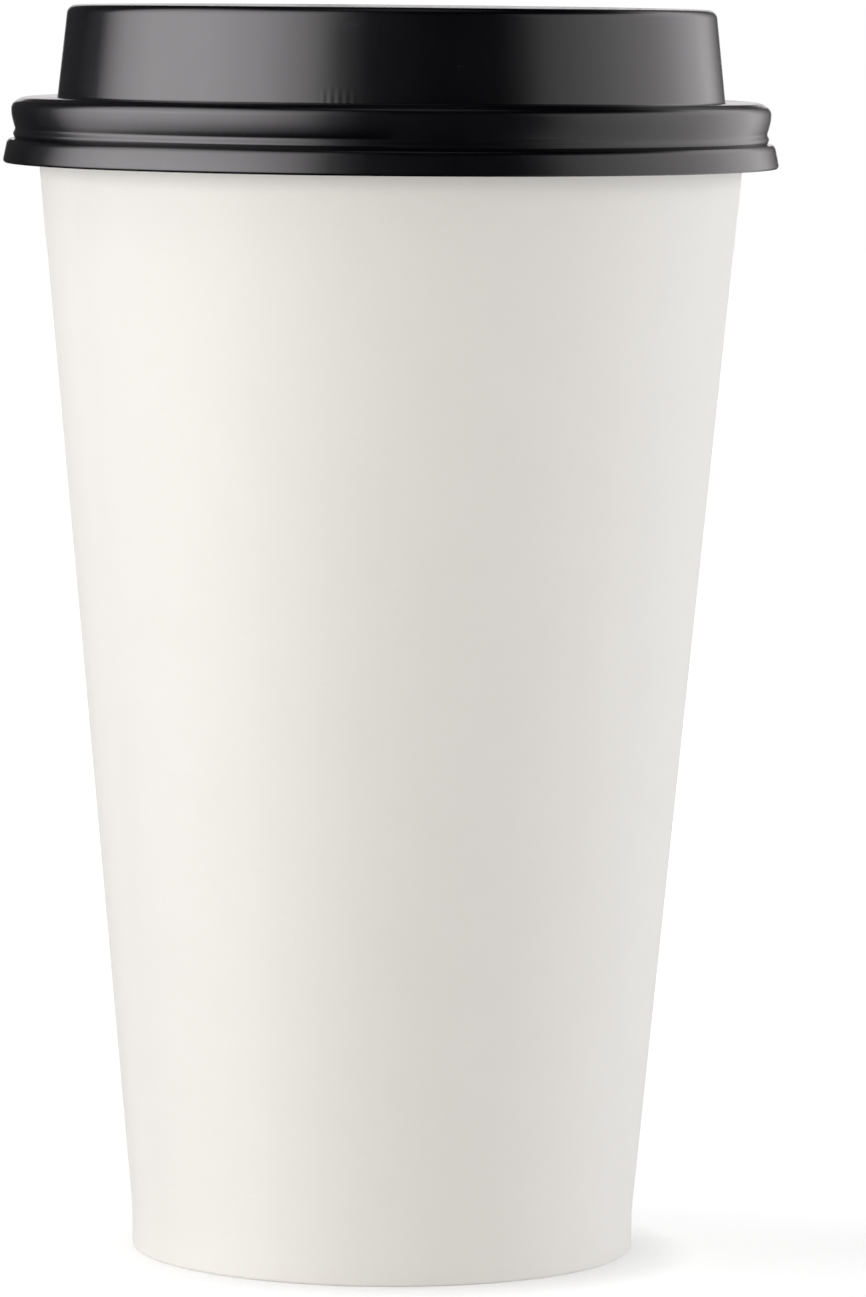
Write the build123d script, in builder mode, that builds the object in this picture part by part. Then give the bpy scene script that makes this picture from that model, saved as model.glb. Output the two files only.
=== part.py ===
from build123d import *

import os
from math import cos, radians, sin, tan

# A single-wall paper hot cup of the 16 oz size with its thermoformed travel lid.
# Millimetres, +Z up, origin on the floor at the middle of the foot.
# The drinking hole is at the front (-Y) and the lapped seam of the board at the back (+Y).

# Cup sidewall, one board
cup_height = 138.0
rim_diameter = 89.0
foot_diameter = 60.6
wall_board = 0.4
curl_diameter = 2.2
foot_band_height = 6.8
fold_height = 6.0
lap_angle = 11.0

# Bottom board
bottom_board = 0.35
glue_gap = 0.05

# Lid, one formed sheet
lid_sheet = 0.35
snap_clearance = 0.15
seat_gap = 0.1
skirt_depth = 7.5
skirt_flare = 1.5
shoulder_height = 2.1
shoulder_width = 1.05
ledge_height = 2.75
bead_swell = 0.5
bead_corner = 1.2
shelf_width = 4.25
drum_height = 11.2
drum_draft = 6.3
drum_corner = 0.5
land_width = 4.0
recess_depth = 2.6
recess_draft = 20.0
deck_radius = 15.0
deck_fillet = 4.0
drink_hole_length = 14.0
drink_hole_width = 5.4
drink_hole_inset = 7.0
vent_diameter = 1.2
vent_inset = 20.0

rim_radius = rim_diameter / 2
foot_radius = foot_diameter / 2

# The rolled rim's section is a six-sided ring, open towards the wall, with a flat on top for the lid
curl_turn = 60
curl_sides = 4
curl_angles = [180 - curl_turn * side for side in range(curl_sides + 1)]
curl_flat = curl_diameter / 2 * cos(radians(curl_turn / 2))
curl_centre = (rim_radius - curl_diameter / 2, cup_height - curl_flat)


def curl_points(flat):
    """Corners of the ring's section, from inside the cup over the top and round to the outside."""
    reach = flat / cos(radians(curl_turn / 2))
    return [
        (curl_centre[0] + reach * cos(radians(angle)), curl_centre[1] + reach * sin(radians(angle)))
        for angle in curl_angles
    ]


curl_outside = curl_points(curl_flat)
curl_inside = curl_points(curl_flat - wall_board)
wall_top_radius = curl_inside[0][0]
wall_top_height = curl_centre[1]

# The foot: the board turned up inside itself, with a slot for the bottom board's edge
wall_inside = foot_radius - wall_board
fold_outside = wall_inside - bottom_board - 2 * glue_gap
fold_inside = fold_outside - wall_board

with BuildPart() as cup_sidewall:
    with BuildSketch(Plane.XZ):
        with BuildLine():
            Polyline(
                (foot_radius, 0),
                (foot_radius, foot_band_height),
                (wall_top_radius, wall_top_height),
                *curl_inside[1:],
                *reversed(curl_outside),
                (wall_inside, foot_band_height),
                (wall_inside, wall_board),
                (fold_outside, wall_board),
                (fold_outside, fold_height),
                (fold_inside, fold_height),
                (fold_inside, 0),
                close=True,
            )
        make_face()
    revolve(axis=Axis.Z)

    # The lap at the back, where the board's outer ply stands proud of the one under it
    lap_root = wall_board / 2
    with BuildSketch(Plane.XZ.rotated((0, 0, 90 - lap_angle / 2))):
        with BuildLine():
            Polyline(
                (foot_radius - lap_root, wall_board),
                (foot_radius + wall_board, wall_board),
                (foot_radius + wall_board, foot_band_height),
                (wall_top_radius + wall_board, wall_top_height),
                (wall_top_radius - lap_root, wall_top_height),
                (foot_radius - lap_root, foot_band_height),
                close=True,
            )
        make_face()
    revolve(axis=Axis.Z, revolution_arc=lap_angle)

# Bottom board: a disc with its edge turned down into the foot's slot
disc_underside = fold_height + glue_gap
disc_top = disc_underside + bottom_board
skirt_foot = wall_board + glue_gap
skirt_outside = wall_inside - glue_gap
skirt_inside = skirt_outside - bottom_board

with BuildPart() as cup_bottom:
    with BuildSketch(Plane.XZ):
        with BuildLine():
            Polyline(
                (0, disc_underside),
                (skirt_inside, disc_underside),
                (skirt_inside, skirt_foot),
                (skirt_outside, skirt_foot),
                (skirt_outside, disc_top),
                (0, disc_top),
                close=True,
            )
        make_face()
    revolve(axis=Axis.Z)

# Lid: the skirt snaps round the rim, the shelf rests on it and the drum stands above
shelf_top = cup_height + seat_gap + lid_sheet
skirt_edge = shelf_top - skirt_depth
lid_top = shelf_top + drum_height
groove_radius = rim_radius + snap_clearance + lid_sheet
bead_radius = groove_radius + bead_swell
edge_radius = groove_radius + skirt_flare
shoulder_radius = groove_radius + shoulder_width
bead_height = shelf_top - bead_corner
drum_foot = bead_radius - bead_corner - shelf_width
drum_top = drum_foot - drum_height * tan(radians(drum_draft))
recess_radius = drum_top - drum_corner - land_width
recess_inset = recess_depth * tan(radians(recess_draft))
deck_centre = (0, -recess_radius)
drink_hole_centre = (0, drink_hole_inset - drum_top)


def recess_outline(height, outset):
    """Outline of the sunken part of the top, at a height, with the deck for the lips left standing in it."""
    with BuildSketch(Plane.XY.offset(height)) as outline:
        Circle(recess_radius + outset)
        with Locations(deck_centre):
            Circle(deck_radius - outset, mode=Mode.SUBTRACT)
        fillet(outline.vertices(), deck_fillet + outset)
    return outline.sketch


# The space under the sheet, with the ledge's underside lowered to keep the sheet's thickness there
ledge_drop = lid_sheet / 2

with BuildPart() as lid_inside:
    with BuildSketch(Plane.XZ):
        with BuildLine():
            Polyline(
                (0, skirt_edge),
                (edge_radius - lid_sheet, skirt_edge),
                (shoulder_radius - lid_sheet, skirt_edge + shoulder_height - ledge_drop),
                (groove_radius - lid_sheet, skirt_edge + ledge_height - ledge_drop),
                (bead_radius - lid_sheet, bead_height),
                (bead_radius - bead_corner, shelf_top - lid_sheet),
                (drum_foot - lid_sheet, shelf_top - lid_sheet),
                (drum_top - lid_sheet, lid_top - lid_sheet),
                (0, lid_top - lid_sheet),
                close=True,
            )
        make_face()
    revolve(axis=Axis.Z)
    underside = [
        recess_outline(lid_top - lid_sheet, lid_sheet),
        recess_outline(lid_top - recess_depth - lid_sheet, lid_sheet - recess_inset),
    ]
    loft(underside, ruled=True, mode=Mode.SUBTRACT)

with BuildPart() as lid:
    with BuildSketch(Plane.XZ):
        with BuildLine():
            Polyline(
                (0, skirt_edge),
                (edge_radius, skirt_edge),
                (shoulder_radius, skirt_edge + shoulder_height),
                (groove_radius, skirt_edge + ledge_height),
                (bead_radius, bead_height),
                (bead_radius - bead_corner, shelf_top),
                (drum_foot, shelf_top),
                (drum_top, lid_top - drum_corner),
                (drum_top - drum_corner, lid_top),
                (0, lid_top),
                close=True,
            )
        make_face()
    revolve(axis=Axis.Z)
    upper_side = [recess_outline(lid_top, 0), recess_outline(lid_top - recess_depth, -recess_inset)]
    loft(upper_side, ruled=True, mode=Mode.SUBTRACT)
    add(lid_inside.part, mode=Mode.SUBTRACT)

    # The drinking hole through the deck, and the vent through the recess
    with BuildSketch(Plane.XY.offset(lid_top)):
        with Locations(drink_hole_centre):
            SlotOverall(drink_hole_length, drink_hole_width)
    extrude(amount=-2 * lid_sheet, mode=Mode.SUBTRACT)
    with Locations((0, vent_inset, lid_top - recess_depth)):
        Hole(vent_diameter / 2, depth=2 * lid_sheet)

cup_sidewall.part.label = "cup_sidewall"
cup_bottom.part.label = "cup_bottom"
lid.part.label = "lid"

os.makedirs("parts", exist_ok=True)
export_step(cup_sidewall.part, "parts/cup_sidewall.step")
export_step(cup_bottom.part, "parts/cup_bottom.step")
export_step(lid.part, "parts/lid.step")
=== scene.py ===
import bpy
import bmesh
from math import acos, atan2, cos, hypot, pi, radians, sin, tan
from mathutils import Matrix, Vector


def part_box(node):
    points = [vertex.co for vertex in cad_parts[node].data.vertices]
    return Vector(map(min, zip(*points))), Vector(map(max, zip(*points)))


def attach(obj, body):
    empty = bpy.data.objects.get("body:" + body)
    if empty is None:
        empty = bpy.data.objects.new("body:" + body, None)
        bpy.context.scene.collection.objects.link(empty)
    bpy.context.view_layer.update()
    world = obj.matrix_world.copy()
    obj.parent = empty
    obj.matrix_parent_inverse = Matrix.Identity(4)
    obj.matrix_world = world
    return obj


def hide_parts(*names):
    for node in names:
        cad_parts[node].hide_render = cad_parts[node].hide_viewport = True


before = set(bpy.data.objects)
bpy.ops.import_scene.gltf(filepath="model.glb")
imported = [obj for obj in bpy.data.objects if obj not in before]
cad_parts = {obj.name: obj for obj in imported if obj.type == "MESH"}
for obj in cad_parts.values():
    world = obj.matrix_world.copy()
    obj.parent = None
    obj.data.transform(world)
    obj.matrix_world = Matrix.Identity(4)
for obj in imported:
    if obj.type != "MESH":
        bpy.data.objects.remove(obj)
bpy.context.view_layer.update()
mm = 0.001

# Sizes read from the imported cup, in millimetres. The dictionaries below are in millimetres and degrees too.
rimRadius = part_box("cup_sidewall")[1].x / mm
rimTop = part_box("cup_sidewall")[1].z / mm
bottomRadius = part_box("cup_bottom")[1].x / mm
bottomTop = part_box("cup_bottom")[1].z / mm
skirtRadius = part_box("lid")[1].x / mm
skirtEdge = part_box("lid")[0].z / mm
print("cup: packed model loaded")


# Helpers for working on one piece in edit mode

slack = 0.01  # a point this little past a limit still counts
doubled = 0.005  # points closer than this are one point


def newPoint(name, radius, height, angle=0):
    # a piece that starts as one point, ready to be drawn out into a section
    bpy.ops.object.select_all(action="DESELECT")
    place = (radius * cos(angle) * mm, radius * sin(angle) * mm, height * mm)
    bpy.ops.mesh.primitive_circle_add(vertices=3, radius=mm, location=place)
    piece = bpy.context.object
    piece.name = piece.data.name = name
    bpy.ops.object.transform_apply(location=True, rotation=False, scale=False)
    bpy.ops.object.mode_set(mode="EDIT")
    bpy.ops.mesh.select_mode(type="VERT")
    bpy.ops.mesh.select_all(action="SELECT")
    bpy.ops.mesh.merge(type="CENTER")
    return piece


def drawTo(start, end, angle=0):
    # extrudes the selected point from one (radius, height) to the next
    across, up = end[0] - start[0], end[1] - start[1]
    step = (across * cos(angle) * mm, across * sin(angle) * mm, up * mm)
    bpy.ops.mesh.extrude_region_move(TRANSFORM_OT_translate={"value": step})


def spinRound(steps, angle, x=0, y=0, height=0):
    # anticlockwise seen from above: spin itself turns the other way, so its axis points down
    bpy.ops.mesh.spin(steps=steps, angle=angle, center=(x * mm, y * mm, height * mm), axis=(0, 0, -1))


def spinAll(steps):
    # the whole section once round the axis, closed where it meets itself
    bpy.ops.mesh.select_all(action="SELECT")
    spinRound(steps, 2 * pi)
    bpy.ops.mesh.select_all(action="SELECT")
    bpy.ops.mesh.remove_doubles(threshold=doubled * mm)


def selectPoints(piece, test):
    # the test is asked about each point's radius and height, and its x and y
    bpy.ops.mesh.select_mode(type="VERT")
    bpy.ops.mesh.select_all(action="DESELECT")
    mesh = bmesh.from_edit_mesh(piece.data)
    for point in mesh.verts:
        x, y, z = (v / mm for v in point.co)
        point.select = test(hypot(x, y), z, x, y)
    mesh.select_flush_mode()
    bmesh.update_edit_mesh(piece.data)


def roundCorner(piece, corner, size, segments):
    near = 0.02
    selectPoints(piece, lambda r, z, x, y: abs(r - corner[0]) < near and abs(z - corner[1]) < near)
    bpy.ops.mesh.bevel(offset=size * mm, offset_type="OFFSET", segments=segments, affect="VERTICES")


def faceOutwards(piece, height):
    # makes the outer side of an open sheet the front, judged on a face of its wall near this height
    bpy.ops.mesh.select_all(action="SELECT")
    bpy.ops.mesh.normals_make_consistent(inside=False)
    mesh = bmesh.from_edit_mesh(piece.data)
    wall = min(mesh.faces, key=lambda f: abs(f.calc_center_median().z / mm - height))
    middle = wall.calc_center_median()
    if wall.normal.x * middle.x + wall.normal.y * middle.y < 0:
        bpy.ops.mesh.flip_normals()


def thicken(piece, thickness, side, insideSlot=0, edgeSlot=0):
    # side 0 grows the sheet both ways from its middle, and side -1 inwards from its outer face
    bpy.ops.object.mode_set(mode="OBJECT")
    sheet = piece.modifiers.new("sheet", "SOLIDIFY")
    sheet.thickness = thickness * mm
    sheet.offset = side
    sheet.use_even_offset = True
    sheet.material_offset = insideSlot
    sheet.material_offset_rim = edgeSlot
    bpy.ops.object.modifier_apply(modifier=sheet.name)


def smooth(piece, angle):
    bpy.ops.object.select_all(action="DESELECT")
    piece.select_set(True)
    bpy.context.view_layer.objects.active = piece
    bpy.ops.object.shade_smooth_by_angle(angle=radians(angle))


def cutHole(piece, place, radius, length, height):
    # a round or long hole, punched straight down through the sheet
    sides, deep = 48, 3 * mm
    bpy.ops.object.mode_set(mode="OBJECT")
    bpy.ops.object.select_all(action="DESELECT")
    middle = (place[0] * mm, place[1] * mm, height * mm)
    bpy.ops.mesh.primitive_cylinder_add(vertices=sides, radius=radius * mm, depth=deep, location=middle)
    punch = bpy.context.object
    bpy.ops.object.transform_apply(location=True, rotation=False, scale=False)
    if length > 2 * radius:
        spare = length / 2 - radius
        for side in (-1, 1):
            bpy.ops.object.mode_set(mode="EDIT")
            selectPoints(punch, lambda r, z, x, y: side * x > slack)
            bpy.ops.transform.translate(value=(side * spare * mm, 0, 0))
        bpy.ops.object.mode_set(mode="OBJECT")
    bpy.ops.object.select_all(action="DESELECT")
    piece.select_set(True)
    bpy.context.view_layer.objects.active = piece
    hole = piece.modifiers.new("hole", "BOOLEAN")
    hole.operation = "DIFFERENCE"
    hole.solver = "EXACT"
    hole.object = punch
    bpy.ops.object.modifier_apply(modifier=hole.name)
    bpy.data.objects.remove(punch)


# Helpers for the materials, which work on one material's node tree

def newMaterial(name):
    material = bpy.data.materials.new(name)
    material.use_nodes = True
    tree = material.node_tree
    return material, tree, tree.nodes["Principled BSDF"]


def objectPlace(tree):
    return tree.nodes.new("ShaderNodeTexCoord").outputs["Object"]


def objectAxes(tree):
    split = tree.nodes.new("ShaderNodeSeparateXYZ")
    tree.links.new(objectPlace(tree), split.inputs["Vector"])
    return split.outputs["X"], split.outputs["Y"], split.outputs["Z"]


def noise(tree, grain, detail, stretch=(1, 1, 1)):
    # a noise whose blobs are about as many millimetres across as its grain
    mapping = tree.nodes.new("ShaderNodeMapping")
    mapping.inputs["Scale"].default_value = stretch
    texture = tree.nodes.new("ShaderNodeTexNoise")
    texture.inputs["Scale"].default_value = 1 / (grain * mm)
    texture.inputs["Detail"].default_value = detail
    tree.links.new(objectPlace(tree), mapping.inputs["Vector"])
    tree.links.new(mapping.outputs["Vector"], texture.inputs["Vector"])
    return texture.outputs["Fac"]


def spread(tree, source, low, high, fromLow=0.35, fromHigh=0.65):
    # low to high as the source goes from its own low to its own high, and level beyond them
    remap = tree.nodes.new("ShaderNodeMapRange")
    remap.inputs["From Min"].default_value = fromLow
    remap.inputs["From Max"].default_value = fromHigh
    remap.inputs["To Min"].default_value = low
    remap.inputs["To Max"].default_value = high
    tree.links.new(source, remap.inputs["Value"])
    return remap.outputs["Result"]


def calculate(tree, operation, first, second=0.0):
    node = tree.nodes.new("ShaderNodeMath")
    node.operation = operation
    for socket, value in zip(node.inputs, (first, second)):
        if isinstance(value, (int, float)):
            socket.default_value = value
        else:
            tree.links.new(value, socket)
    return node.outputs["Value"]


def times(tree, first, *others):
    for other in others:
        first = calculate(tree, "MULTIPLY", first, other)
    return first


def plus(tree, first, *others):
    for other in others:
        first = calculate(tree, "ADD", first, other)
    return first


def colourMix(tree, factor, first, second):
    mix = tree.nodes.new("ShaderNodeMix")
    mix.data_type = "RGBA"
    tree.links.new(factor, mix.inputs["Factor"])
    for name, colour in (("A", first), ("B", second)):
        if isinstance(colour, tuple):
            mix.inputs[name].default_value = (*colour, 1)
        else:
            tree.links.new(colour, mix.inputs[name])
    return mix.outputs["Result"]


def ramp(tree, source, rows, low, high, top):
    # a curve through the rows, each a position between low and high and a value up to top
    node = tree.nodes.new("ShaderNodeValToRGB")
    stops = node.color_ramp.elements
    while len(stops) < len(rows):
        stops.new(0.5)
    for stop, (place, value) in zip(stops, rows):
        stop.position = (place - low) / (high - low)
    for stop, (place, value) in zip(stops, rows):
        stop.color = (value / top, value / top, value / top, 1)
    tree.links.new(source, node.inputs["Fac"])
    return node.outputs["Color"]


def bump(tree, height):
    # the height is in millimetres
    raised = tree.nodes.new("ShaderNodeBump")
    raised.inputs["Distance"].default_value = mm
    tree.links.new(height, raised.inputs["Height"])
    return raised.outputs["Normal"]


# The paper board
boardLook = {
    "pale": (0.905, 0.878, 0.835),
    "shade": (0.880, 0.851, 0.806),
    "fleck": (0.84, 0.80, 0.745),
    "cut": (0.80, 0.765, 0.70),
    "cutShade": (0.73, 0.69, 0.62),
    "blotch": 9.0,
    "fleckLength": 1.6,
    "fleckStretch": 3.0,
    "fleckFrom": 0.60,
    "fleckTo": 0.74,
    "fleckShare": 0.22,
    "fibre": 0.45,
    "fibreStretch": 1.8,
    "fibreDepth": 0.014,
    "cockle": 22.0,
    "cockleDepth": 0.05,
    "bareRough": 0.62,
    "linedRough": 0.26,
    "cutRough": 0.85,
    "roughSpread": 0.05,
    "gloss": 0.35,
}


def boardMaterial(name, look, pale, shade, rough, depth):
    material, tree, shader = newMaterial(name)
    # broad cloudy blotches of the pulp, and short faint fibres lying mostly level
    tone = colourMix(tree, noise(tree, look["blotch"], detail=6.0), shade, pale)
    flecks = noise(tree, look["fleckLength"], detail=6.0, stretch=(1, 1, look["fleckStretch"]))
    flecked = spread(tree, flecks, 0, look["fleckShare"], look["fleckFrom"], look["fleckTo"])
    tone = colourMix(tree, flecked, tone, look["fleck"])
    tree.links.new(tone, shader.inputs["Base Color"])
    fibres = noise(tree, look["fibre"], detail=4.0, stretch=(1, 1, look["fibreStretch"]))
    uneven = look["roughSpread"]
    tree.links.new(spread(tree, fibres, rough - uneven, rough + uneven), shader.inputs["Roughness"])
    cockle = times(tree, noise(tree, look["cockle"], detail=1.0), look["cockleDepth"])
    relief = plus(tree, cockle, times(tree, fibres, depth))
    tree.links.new(bump(tree, relief), shader.inputs["Normal"])
    shader.inputs["Specular IOR Level"].default_value = look["gloss"]
    return material


def boardMaterials(look):
    # bare board, the smooth film that lines the wall's inside, and the rougher and browner cut edges
    pale, shade, depth = look["pale"], look["shade"], look["fibreDepth"]
    bare = boardMaterial("boardOutside", look, pale, shade, look["bareRough"], depth)
    lined = boardMaterial("boardLined", look, pale, shade, look["linedRough"], depth / 3)
    cut = boardMaterial("boardCut", look, look["cut"], look["cutShade"], look["cutRough"], depth * 2)
    return bare, lined, cut


boardOutside, boardLined, boardCut = boardMaterials(boardLook)


# The lid's black sheet
lidLook = {
    "colour": (0.0022, 0.0022, 0.0032),
    "ior": 1.59,
    "gloss": 0.5,
    "roughLow": 0.13,
    "roughHigh": 0.20,
    "wave": 14.0,
    "waveDepth": 0.010,
    "drawLine": 0.7,
    "drawLineStretch": 0.04,
    "drawLineRough": 0.02,
    "scuff": 3.0,
    "scuffStretch": 3.5,
    "scuffFrom": 0.66,
    "scuffTo": 0.74,
    "scuffRough": 0.09,
    "rippleFrom": -12.5,
    "rippleTo": -5.0,
    "rippleEase": 1.5,
    "rippleTurn": 1.3,
    "rippleDepth": 0.004,
    "rippleTop": 141.0,
    "rippleTopFade": 1.2,
    "rippleFoot": 138.7,
    "rippleFootFade": 0.4,
}


def rippleHeight(tree, look):
    # a short row of ripples at the drum's foot on the drinking side, fading out at its ends, top and foot
    x, y, z = objectAxes(tree)
    turned = calculate(tree, "ARCTAN2", x, times(tree, y, -1.0))
    wave = calculate(tree, "SINE", times(tree, turned, 360 / look["rippleTurn"]))
    start, end, ease = radians(look["rippleFrom"]), radians(look["rippleTo"]), radians(look["rippleEase"])
    top, foot = look["rippleTop"], look["rippleFoot"]
    share = times(
        tree,
        spread(tree, turned, 0, 1, start, start + ease),
        spread(tree, turned, 1, 0, end - ease, end),
        spread(tree, z, 1, 0, (top - look["rippleTopFade"]) * mm, top * mm),
        spread(tree, z, 0, 1, foot * mm, (foot + look["rippleFootFade"]) * mm),
    )
    return times(tree, wave, share, look["rippleDepth"])


def lidMaterial(look):
    material, tree, shader = newMaterial("blackLidPlastic")
    shader.inputs["Base Color"].default_value = (*look["colour"], 1)
    shader.inputs["IOR"].default_value = look["ior"]
    shader.inputs["Specular IOR Level"].default_value = look["gloss"]
    # smears from hands, fine lines drawn upwards as the sheet was formed, and a few dull scuffs
    smears = noise(tree, look["wave"], detail=5.0)
    lines = noise(tree, look["drawLine"], detail=2.0, stretch=(1, 1, look["drawLineStretch"]))
    scuffs = noise(tree, look["scuff"], detail=8.0, stretch=(1, 1, look["scuffStretch"]))
    rough = plus(
        tree,
        spread(tree, smears, look["roughLow"], look["roughHigh"]),
        spread(tree, lines, -look["drawLineRough"], look["drawLineRough"]),
        spread(tree, scuffs, 0, look["scuffRough"], look["scuffFrom"], look["scuffTo"]),
    )
    tree.links.new(rough, shader.inputs["Roughness"])
    # slow waves in the sheet, and the ripples
    waves = times(tree, noise(tree, look["wave"], detail=1.0), look["waveDepth"])
    tree.links.new(bump(tree, plus(tree, waves, rippleHeight(tree, look))), shader.inputs["Normal"])
    return material


blackPlastic = lidMaterial(lidLook)
print("cup: materials made")


# The cup's wall: one board, folded in under the foot, rolled out at the rim and lapped at the back.
# It is drawn along the middle of the board, spun round, and thickened at the end.
wallSizes = {
    "board": 0.4,
    "foldRadius": 29.25,
    "foldTop": 6.0,
    "footRadius": 30.1,
    "footBend": 0.3,
    "bandTop": 4.4,
    "bandEase": 1.6,
    "curlRadius": 0.9,
    "curlTurn": 290,
    "curlStep": 10,
    "wallRings": 14,
    "steps": 206,
    "easeSteps": 3,
    "plyFoot": 0.8,
    "lapAngle": 11.0,
    "lapLift": 0.42,
}


def wallSection(sizes):
    # from the fold's upper edge down, round under the foot, up the wall and over the rolled rim
    half, roll = sizes["board"] / 2, sizes["curlRadius"]
    curlCentre = (rimRadius - half - roll, rimTop - half - roll)
    foot = (sizes["footRadius"], sizes["bandTop"])
    lean = atan2(curlCentre[0] - roll - foot[0], curlCentre[1] - foot[1])
    curl = []
    for turn in range(0, sizes["curlTurn"] + 1, sizes["curlStep"]):
        turned = pi - lean - radians(turn)
        curl.append((curlCentre[0] + roll * cos(turned), curlCentre[1] + roll * sin(turned)))
    section = [
        (sizes["foldRadius"], sizes["foldTop"]),
        (sizes["foldRadius"], half),
        (sizes["footRadius"], half),
        (sizes["footRadius"], sizes["plyFoot"]),
        foot,
    ]
    across, up = curl[0][0] - foot[0], curl[0][1] - foot[1]
    for ring in range(1, sizes["wallRings"]):
        along = ring / sizes["wallRings"]
        section.append((foot[0] + across * along, foot[1] + up * along))
    return section + curl


def makeWall(sizes):
    section = wallSection(sizes)
    foldCorner, footCorner, bandCorner = section[1], section[2], section[4]
    lap = radians(sizes["lapAngle"])
    seam = pi / 2 - lap / 2
    wall = newPoint("cupWall", *section[0], angle=seam)
    for start, end in zip(section, section[1:]):
        drawTo(start, end, seam)
    roundCorner(wall, foldCorner, sizes["footBend"], segments=4)
    roundCorner(wall, footCorner, sizes["footBend"], segments=4)
    roundCorner(wall, bandCorner, sizes["bandEase"], segments=5)

    # round to where the outer ply starts to climb
    ease = sizes["easeSteps"]
    plain = sizes["steps"] - ease
    stepAngle = 2 * pi / sizes["steps"]
    bpy.ops.mesh.select_all(action="SELECT")
    spinRound(plain, stepAngle * plain)
    faceOutwards(wall, rimTop / 2)
    endAngle = seam + stepAngle * plain - 2 * pi
    plyFoot = sizes["plyFoot"]
    pastFold = sizes["foldRadius"] + 0.1

    def inFoot(r, z):
        return z < plyFoot + slack or r < pastFold

    def inPly(r, z):
        return z > plyFoot - slack and r > pastFold

    def atEnd(x, y):
        return abs(atan2(y, x) - endAngle) < stepAngle / 10

    # the folded foot runs on and closes; the outer ply climbs over the inner one, then lies along it
    selectPoints(wall, lambda r, z, x, y: atEnd(x, y) and inFoot(r, z))
    spinRound(ease, stepAngle * ease)
    selectPoints(wall, lambda r, z, x, y: atEnd(x, y) and inPly(r, z))
    for step in range(ease):
        spinRound(1, stepAngle)
        bpy.ops.transform.shrink_fatten(value=sizes["lapLift"] * mm / ease)
    spinRound(round(lap / stepAngle), lap)
    selectPoints(wall, lambda r, z, x, y: inFoot(r, z))
    bpy.ops.mesh.remove_doubles(threshold=doubled * mm)

    for material in (boardOutside, boardLined, boardCut):
        wall.data.materials.append(material)
    thicken(wall, sizes["board"], side=0, insideSlot=1, edgeSlot=2)
    smooth(wall, angle=40)
    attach(wall, "cup")
    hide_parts("cup_sidewall")
    return wall


cupWall = makeWall(wallSizes)
print("cup: wall made", len(cupWall.data.polygons), "faces")


# The bottom board, pressed in with its edge turned down between the plies of the foot
bottomSizes = {
    "board": 0.35,
    "skirtFoot": 0.6,
    "bend": 0.6,
    "rings": (0.7, 0.35),
    "poleRadius": 2.0,
    "steps": 180,
}


def makeBottom(sizes):
    half, pole = sizes["board"] / 2, sizes["poleRadius"]
    side, top = bottomRadius - half, bottomTop - half
    section = [(side, sizes["skirtFoot"]), (side, top)]
    section += [(side * share, top) for share in sizes["rings"]] + [(pole, top)]
    board = newPoint("bottomBoard", *section[0])
    for start, end in zip(section, section[1:]):
        drawTo(start, end)
    roundCorner(board, section[1], sizes["bend"], segments=5)
    spinAll(sizes["steps"])
    selectPoints(board, lambda r, z, x, y: r < pole + slack)
    bpy.ops.mesh.edge_face_add()
    faceOutwards(board, top / 2)

    for material in (boardOutside, boardCut):
        board.data.materials.append(material)
    thicken(board, sizes["board"], side=0, edgeSlot=1)
    smooth(board, angle=40)
    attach(board, "cup")
    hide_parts("cup_bottom")
    return board


bottomBoard = makeBottom(bottomSizes)
print("cup: bottom made", len(bottomBoard.data.polygons), "faces")


# The lid: one formed sheet, drawn along its upper side, from the skirt's lower edge up to the drum's corner.
# Each place on it is a radius and a height.
lidSizes = {
    "sheet": 0.35,
    "steps": 192,
    "turnIn": 0.16,
    "lip": 0.24,
    "lipRound": 0.12,
    "shoulder": (46.03, 133.51),
    "shoulderRound": 0.34,
    "shoulderTop": (45.76, 133.75),
    "notch": (45.08, 133.74),
    "ridge": (45.32, 134.4),
    "ridgeRound": 0.14,
    "groove": (45.03, 134.98),
    "grooveRound": 0.2,
    "beadWall": [(45.17, 135.32), (45.3, 135.81), (45.41, 136.29), (45.5, 136.77)],
    "beadCorner": (45.53, 137.93),
    "beadRound": 0.6,
    "crest": (44.2, 138.7),
    "crestRound": 0.25,
    "drumFoot": (40.02, 138.5),
    "footRound": 0.4,
    "drumCorner": (38.81, 149.75),
    "cornerRound": 1.0,
    "landRing": 1.5,
    "frontRise": 0.33,
    "riseBelowBead": 0.9,
    "rimWidth": 3.9,
    "landDish": 0.3,
    "recessDepth": 2.7,
    "recessDraft": 20,
    "landRound": 1.2,
    "floorRound": 0.6,
    "roundSteps": 5,
    "recessSteps": 96,
    "deckRadius": 15.0,
    "deckSteps": 24,
    "deckFillet": 5.0,
    "filletSteps": 10,
    "sipLength": 14.0,
    "sipWidth": 5.4,
    "sipInset": 7.0,
    "ventRadius": 0.6,
    "ventInset": 20.0,
}


def recessInsets(sizes):
    # how far in and down each inset goes: round the land's edge, down the drafted side, round onto the floor
    steep = radians(90 - sizes["recessDraft"])
    over, under, steps = sizes["landRound"], sizes["floorRound"], sizes["roundSteps"]
    points = []
    for step in range(steps + 1):
        turned = steep * step / steps
        points.append((over * sin(turned), over * (1 - cos(turned))))
    depth = sizes["recessDepth"] - sizes["landDish"]
    sideDown = depth - points[-1][1] - under * (1 - cos(steep))
    floorStart = points[-1][0] + sideDown / tan(steep) + under * sin(steep)
    for step in range(steps + 1):
        turned = steep * (1 - step / steps)
        points.append((floorStart - under * sin(turned), depth - under * (1 - cos(turned))))
    return [(end[0] - start[0], end[1] - start[1]) for start, end in zip(points, points[1:])]


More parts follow.
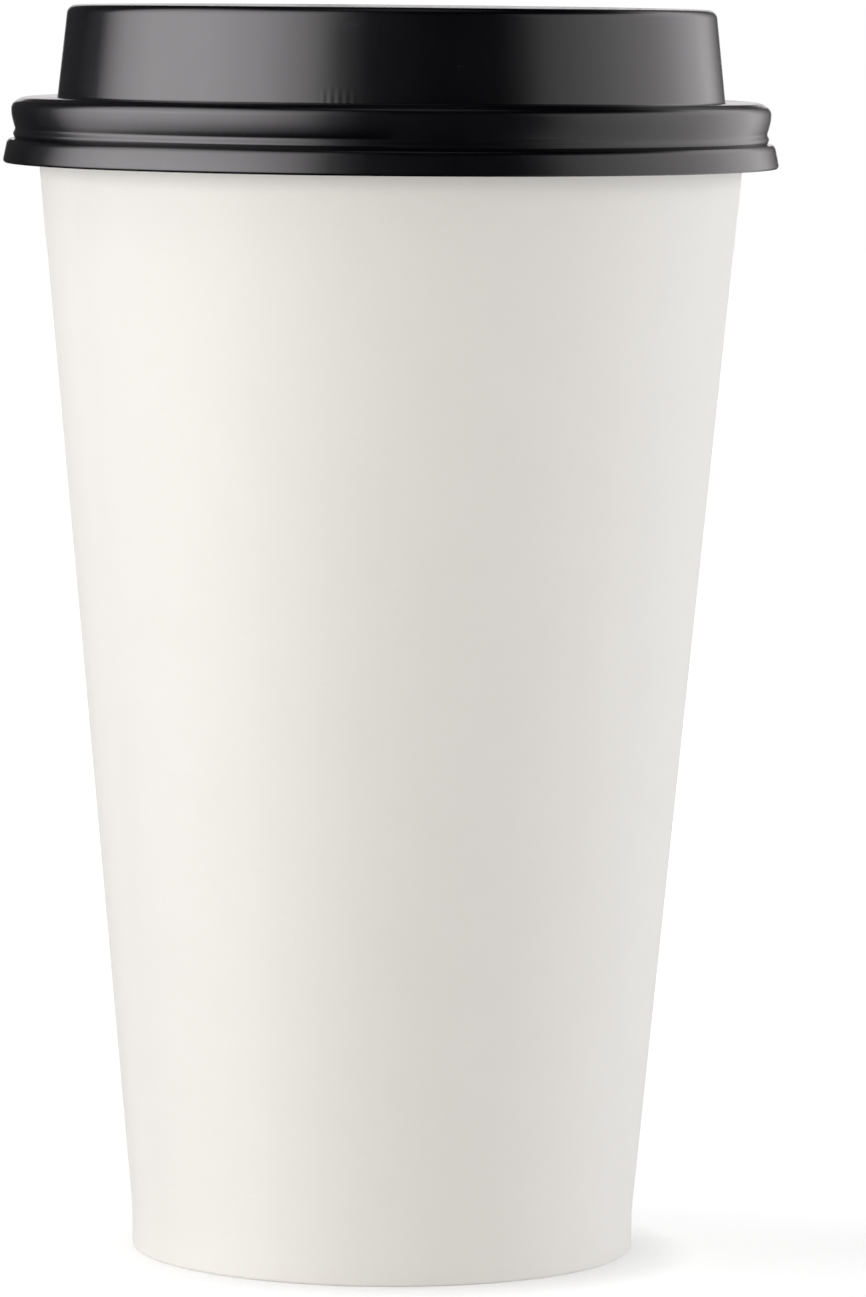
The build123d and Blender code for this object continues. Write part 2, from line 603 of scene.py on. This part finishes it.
def drawRecess(sizes, recess, top):
    # the recess's outline in the top: four arcs, round the recess and back past the deck for the lips
    fillet, deck = sizes["deckFillet"], sizes["deckRadius"]
    reach = recess - fillet
    swing = acos((reach ** 2 + recess ** 2 - (deck + fillet) ** 2) / (2 * reach * recess))
    filletX, filletY = reach * sin(swing), -reach * cos(swing)
    deckSwing = atan2(filletX, filletY + recess)
    arcs = [
        (sizes["recessSteps"], 2 * pi - 2 * swing, 0, 0),
        (sizes["filletSteps"], swing + deckSwing, -filletX, filletY),
        (sizes["deckSteps"], -2 * deckSwing, 0, -recess),
        (sizes["filletSteps"], swing + deckSwing, filletX, filletY),
    ]
    start = (recess * sin(swing) * mm, -recess * cos(swing) * mm, top * mm)
    bpy.ops.mesh.select_all(action="DESELECT")
    bpy.ops.mesh.primitive_circle_add(vertices=3, radius=0.1 * mm, location=start)
    bpy.ops.mesh.merge(type="CENTER")
    for steps, turn, x, y in arcs:
        spinRound(steps, turn, x, y, top)


def makeLid(sizes):
    corner = sizes["drumCorner"]
    top = corner[1]
    landEnd = (corner[0] - sizes["landRing"], top)
    recess = corner[0] - sizes["rimWidth"]
    edge = (skirtRadius - sizes["turnIn"], skirtEdge)
    lip = (skirtRadius, skirtEdge + sizes["lip"])
    section = [edge, lip]
    section += [sizes[name] for name in ("shoulder", "shoulderTop", "notch", "ridge", "groove")]
    section += sizes["beadWall"] + [sizes[name] for name in ("beadCorner", "crest", "drumFoot")]
    section += [corner, landEnd]
    lid = newPoint("travelLid", *section[0])
    for start, end in zip(section, section[1:]):
        drawTo(start, end)
    roundCorner(lid, lip, sizes["lipRound"], segments=3)
    roundCorner(lid, sizes["shoulder"], sizes["shoulderRound"], segments=6)
    roundCorner(lid, sizes["ridge"], sizes["ridgeRound"], segments=4)
    roundCorner(lid, sizes["groove"], sizes["grooveRound"], segments=3)
    roundCorner(lid, sizes["beadCorner"], sizes["beadRound"], segments=8)
    roundCorner(lid, sizes["crest"], sizes["crestRound"], segments=5)
    roundCorner(lid, sizes["drumFoot"], sizes["footRound"], segments=8)
    roundCorner(lid, corner, sizes["cornerRound"], segments=8)
    spinAll(sizes["steps"])

    pastOutline = recess + 0.1
    arcGap = 0.02  # the arcs' ends meet within this

    def inRecess(r, z, x, y):
        return z > top - slack and r < pastOutline

    # the land between drum and recess, dished a little, then the recess let down with its sides drafted
    drawRecess(sizes, recess, top)
    selectPoints(lid, inRecess)
    bpy.ops.mesh.remove_doubles(threshold=arcGap * mm)
    selectPoints(lid, lambda r, z, x, y: z > top - slack and r < landEnd[0] + slack)
    bpy.ops.mesh.fill(use_beauty=True)
    selectPoints(lid, inRecess)
    bpy.ops.mesh.edge_face_add()
    faceOutwards(lid, (sizes["drumFoot"][1] + top) / 2)
    selectPoints(lid, inRecess)
    bpy.ops.transform.translate(value=(0, 0, -sizes["landDish"] * mm))
    for across, down in recessInsets(sizes):
        bpy.ops.mesh.inset(thickness=across * mm, depth=-down * mm)

    # the drinking side stands a little higher: its half is tipped up about the middle, above the bead's wall
    tipFrom = sizes["beadCorner"][1] - sizes["riseBelowBead"]
    selectPoints(lid, lambda r, z, x, y: z > tipFrom and y < -slack)
    tip = sizes["frontRise"] / corner[0]
    bpy.ops.transform.rotate(value=tip, orient_axis="X", center_override=(0, 0, top * mm))

    lid.data.materials.append(blackPlastic)
    thicken(lid, sizes["sheet"], side=-1)
    cutHole(lid, (0, sizes["sipInset"] - corner[0]), sizes["sipWidth"] / 2, sizes["sipLength"], top)
    vent = sizes["ventRadius"]
    cutHole(lid, (0, sizes["ventInset"]), vent, 2 * vent, top - sizes["recessDepth"])
    smooth(lid, angle=35)
    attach(lid, "lid")
    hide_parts("lid")
    return lid


travelLid = makeLid(lidSizes)
print("cup: lid made", len(travelLid.data.polygons), "faces")


# The pale studio floor, which is not part of the cup. It takes the cup's cast shadow close by, and a painted
# contact shadow round the cup's foot where its glow is dimmer; further off it is plain white.
floorLook = {
    "width": 6000,
    "colour": (0.86, 0.86, 0.865),
    "rough": 0.9,
    # the glow's low level round the foot paints a contact shadow
    "paintedShadowGlow": 0.24,
    "glowNear": 0.56,
    "glowFar": 1.10,
    "forward": 4,
    "footRadius": 26,
    "nearRadius": 38,
    "farStart": 110,
    "farRadius": 420,
    # the extra glow behind the cup is painted light over its cast shadow
    "paintedLightBehind": 0.11,
    "behindFrom": 2,
    "behindTo": 34,
    "castShare": 0.25,
}


def floorGlowWithPaintedLightAndShadow(tree, look):
    # the white glow grows with the distance from the cup, which paints a contact shadow round the foot; a
    # painted light lifts the floor just behind the cup, and only a share of the glow lights the cup
    away = tree.nodes.new("ShaderNodeVectorMath")
    away.operation = "DISTANCE"
    away.inputs[1].default_value = (0, -look["forward"] * mm, 0)
    tree.links.new(objectPlace(tree), away.inputs[0])
    radius = away.outputs["Value"]
    back = objectAxes(tree)[1]
    foot, near, far = look["paintedShadowGlow"], look["glowNear"], look["glowFar"]
    glow = plus(
        tree,
        # painted contact shadow: the glow is dimmer close round the cup's foot
        spread(tree, radius, foot, near, look["footRadius"] * mm, look["nearRadius"] * mm),
        spread(tree, radius, 0, far - near, look["farStart"] * mm, look["farRadius"] * mm),
        # painted light: extra glow on the floor just behind the cup, lifting the cast shadow there
        spread(tree, back, 0, look["paintedLightBehind"], look["behindFrom"] * mm, look["behindTo"] * mm),
    )
    path = tree.nodes.new("ShaderNodeLightPath")
    share = spread(tree, path.outputs["Is Camera Ray"], look["castShare"], 1, 0, 1)
    return times(tree, glow, share)


def makeFloor(look):
    bpy.ops.object.select_all(action="DESELECT")
    bpy.ops.mesh.primitive_plane_add(size=look["width"] * mm, location=(0, 0, 0))
    floor = bpy.context.object
    floor.name = "studioFloor"
    material, tree, shader = newMaterial("floorWhite")
    shader.inputs["Base Color"].default_value = (*look["colour"], 1)
    shader.inputs["Roughness"].default_value = look["rough"]
    shader.inputs["Specular IOR Level"].default_value = 0.0
    shader.inputs["Emission Color"].default_value = (1, 1, 1, 1)
    tree.links.new(floorGlowWithPaintedLightAndShadow(tree, look), shader.inputs["Emission Strength"])
    floor.data.materials.append(material)
    floor.visible_glossy = False
    floor.visible_shadow = False


makeFloor(floorLook)


# Soft light on the matt board: each panel is an area light, aimed at the cup from some degrees round from the
# camera, to the right, and some degrees up from the floor. No gloss mirrors these panels.
aimHeight = 80
panels = {
    "softLeft": {
        "around": -78, "up": 3, "distance": 1000, "width": 900, "height": 900,
        "strength": 2.25, "tint": (0.99, 1.004, 1.025),
    },
    "softFront": {
        "around": -12, "up": 10, "distance": 1100, "width": 1300, "height": 700,
        "strength": 1.6, "tint": (1.02, 0.997, 0.965),
    },
    "softRight": {
        "around": 98, "up": 3, "distance": 1000, "width": 800, "height": 900,
        "strength": 3.05, "tint": (0.98, 1.004, 1.035),
    },
    "softHigh": {
        "around": 0, "up": 60, "distance": 1000, "width": 900, "height": 500,
        "strength": 0.45, "tint": (1.02, 0.997, 0.97),
    },
    "softAbove": {
        "around": -80, "up": 72, "distance": 1000, "width": 900, "height": 900,
        "strength": 1.15, "tint": (1.0, 1.0, 1.0),
    },
}


def makePanel(name, around, up, distance, width, height, strength, tint):
    data = bpy.data.lights.new(name, "AREA")
    data.color = tint
    data.shape = "RECTANGLE"
    data.size, data.size_y = width * mm, height * mm
    data.energy = strength * width * height * mm * mm * pi
    lamp = bpy.data.objects.new(name, data)
    bpy.context.scene.collection.objects.link(lamp)
    turn = Matrix.Rotation(radians(around), 4, "Z") @ Matrix.Rotation(radians(90 - up), 4, "X")
    aim = Matrix.Translation((0, 0, aimHeight * mm))
    lamp.matrix_world = aim @ turn @ Matrix.Translation((0, 0, distance * mm))
    lamp.visible_camera = False
    lamp.visible_glossy = False


for name, settings in panels.items():
    makePanel(name, **settings)


# What gloss mirrors instead: a shell round the studio with a large softbox on the left, a dimmer one on the
# right, black cards between and behind, and a white strip far behind at the height of the lid.
# A softbox's rows are degrees round from the camera, to the right, and the brightness there. The rows of its
# height are degrees up and the share of that brightness.
surroundLook = {
    "radius": 1000,
    "centre": 140,
    "tint": (1.0, 0.965, 0.985),
    "dark": 0.05,
    "cardBehind": -136,
    "cardFront": 16,
    "leftBox": [
        (-122, 0.2), (-106, 2.8), (-90, 4.5), (-68, 5.3),
        (-46, 4.4), (-28, 2.5), (-18, 0.6), (-8, 0.1),
    ],
    "rightBox": [
        (38, 0.05), (45, 0.2), (56, 0.8), (86, 1.55),
        (120, 2.05), (140, 1.75), (154, 0.5), (164, 0.1),
    ],
    "upLeft": [
        (-45, 0.0), (-33, 0.02), (-27, 0.12), (-21, 0.45), (-15, 0.66), (-8, 0.8), (10, 1.0),
        (18, 0.92), (27, 0.87), (36, 0.74), (46, 0.58), (53, 0.32), (60, 0.1), (68, 0.0),
    ],
    "upRight": [
        (-62, 0.02), (-50, 0.5), (-40, 0.75), (-20, 0.82), (-3, 1.0), (24, 0.96),
        (32, 0.86), (37, 0.55), (41, 0.22), (46, 0.03), (56, 0.0),
    ],
    "stripHalfHeight": 16.5,
    "stripHalfWidth": 11.0,
    "strip": 1.1,
    "zenith": 0.35,
    "zenithFrom": 66,
}


def surroundGlow(tree, look):
    x, y, z = objectAxes(tree)
    turned = calculate(tree, "ARCTAN2", x, times(tree, y, -1.0))
    raised = calculate(tree, "ARCSINE", calculate(tree, "DIVIDE", z, look["radius"] * mm))
    around = plus(tree, calculate(tree, "DIVIDE", turned, 2 * pi), 0.5)
    up = plus(tree, calculate(tree, "DIVIDE", raised, pi), 0.5)

    # the two softboxes, by degrees round and by degrees up
    dark = look["dark"]
    rows = [(-180, dark), (look["cardBehind"], dark), *look["leftBox"]]
    rows += [(look["cardFront"], dark / 2), *look["rightBox"], (180, dark)]
    most = max(value for place, value in rows)
    boxes = times(tree, ramp(tree, around, rows, -180, 180, most), most)
    height = tree.nodes.new("ShaderNodeMix")
    tree.links.new(calculate(tree, "GREATER_THAN", x, 0.0), height.inputs["Factor"])
    tree.links.new(ramp(tree, up, look["upLeft"], -90, 90, 1), height.inputs["A"])
    tree.links.new(ramp(tree, up, look["upRight"], -90, 90, 1), height.inputs["B"])
    boxLight = times(tree, boxes, height.outputs["Result"])

    # the strip behind, and a soft glow overhead
    fromFront = calculate(tree, "ABSOLUTE", turned)
    fromLevel = calculate(tree, "ABSOLUTE", raised)
    behind = calculate(tree, "GREATER_THAN", fromFront, radians(180 - look["stripHalfWidth"]))
    level = calculate(tree, "LESS_THAN", fromLevel, radians(look["stripHalfHeight"]))
    strip = times(tree, behind, level, look["strip"])
    overhead = spread(tree, up, 0, look["zenith"], 0.5 + look["zenithFrom"] / 180, 1.0)
    return calculate(tree, "MAXIMUM", calculate(tree, "MAXIMUM", boxLight, strip), overhead)


def makeSurround(look):
    bpy.ops.object.select_all(action="DESELECT")
    middle = (0, 0, look["centre"] * mm)
    bpy.ops.mesh.primitive_uv_sphere_add(
        segments=64, ring_count=32, radius=look["radius"] * mm, location=middle
    )
    shell = bpy.context.object
    shell.name = "studioSurround"
    material, tree, shader = newMaterial("surroundGlow")
    shader.inputs["Base Color"].default_value = (0, 0, 0, 1)
    shader.inputs["Specular IOR Level"].default_value = 0.0
    shader.inputs["Emission Color"].default_value = (*look["tint"], 1)
    tree.links.new(surroundGlow(tree, look), shader.inputs["Emission Strength"])
    material.cycles.emission_sampling = "NONE"
    shell.data.materials.append(material)
    shell.visible_camera = False
    shell.visible_diffuse = False
    shell.visible_shadow = False
    shell.visible_transmission = False


makeSurround(surroundLook)


def makeWorld(brightness, low):
    # white behind the floor to the camera, and low light from all round to the cup
    world = bpy.data.worlds.new("studio")
    bpy.context.scene.world = world
    world.use_nodes = True
    tree = world.node_tree
    path = tree.nodes.new("ShaderNodeLightPath")
    seen = colourMix(tree, path.outputs["Is Camera Ray"], (low,) * 3, (brightness,) * 3)
    tree.links.new(seen, tree.nodes["Background"].inputs["Color"])


makeWorld(brightness=1.0, low=0.02)
print("cup: floor and lights set")


# The camera, where the photograph's stood: a long lens a little above the lid, looking slightly down
cameraView = {
    "distance": 924.9,
    "height": 157.8,
    "down": 5.257,
    "right": 0.345,
    "roll": 0.52,
    "lens": 213.7,
    "sensor": 36,
}


def makeCamera(view):
    data = bpy.data.cameras.new("camera")
    data.sensor_width = view["sensor"]
    data.lens = view["lens"]
    data.clip_end = 20  # metres, well past the floor's far edge
    camera = bpy.data.objects.new("camera", data)
    bpy.context.scene.collection.objects.link(camera)
    place = Matrix.Translation((0, -view["distance"] * mm, view["height"] * mm))
    right = Matrix.Rotation(-radians(view["right"]), 4, "Z")
    down = Matrix.Rotation(radians(90 - view["down"]), 4, "X")
    camera.matrix_world = place @ right @ down @ Matrix.Rotation(radians(view["roll"]), 4, "Z")
    bpy.context.scene.camera = camera


makeCamera(cameraView)
bpy.context.scene.view_settings.view_transform = "Standard"
print("cup: camera set")
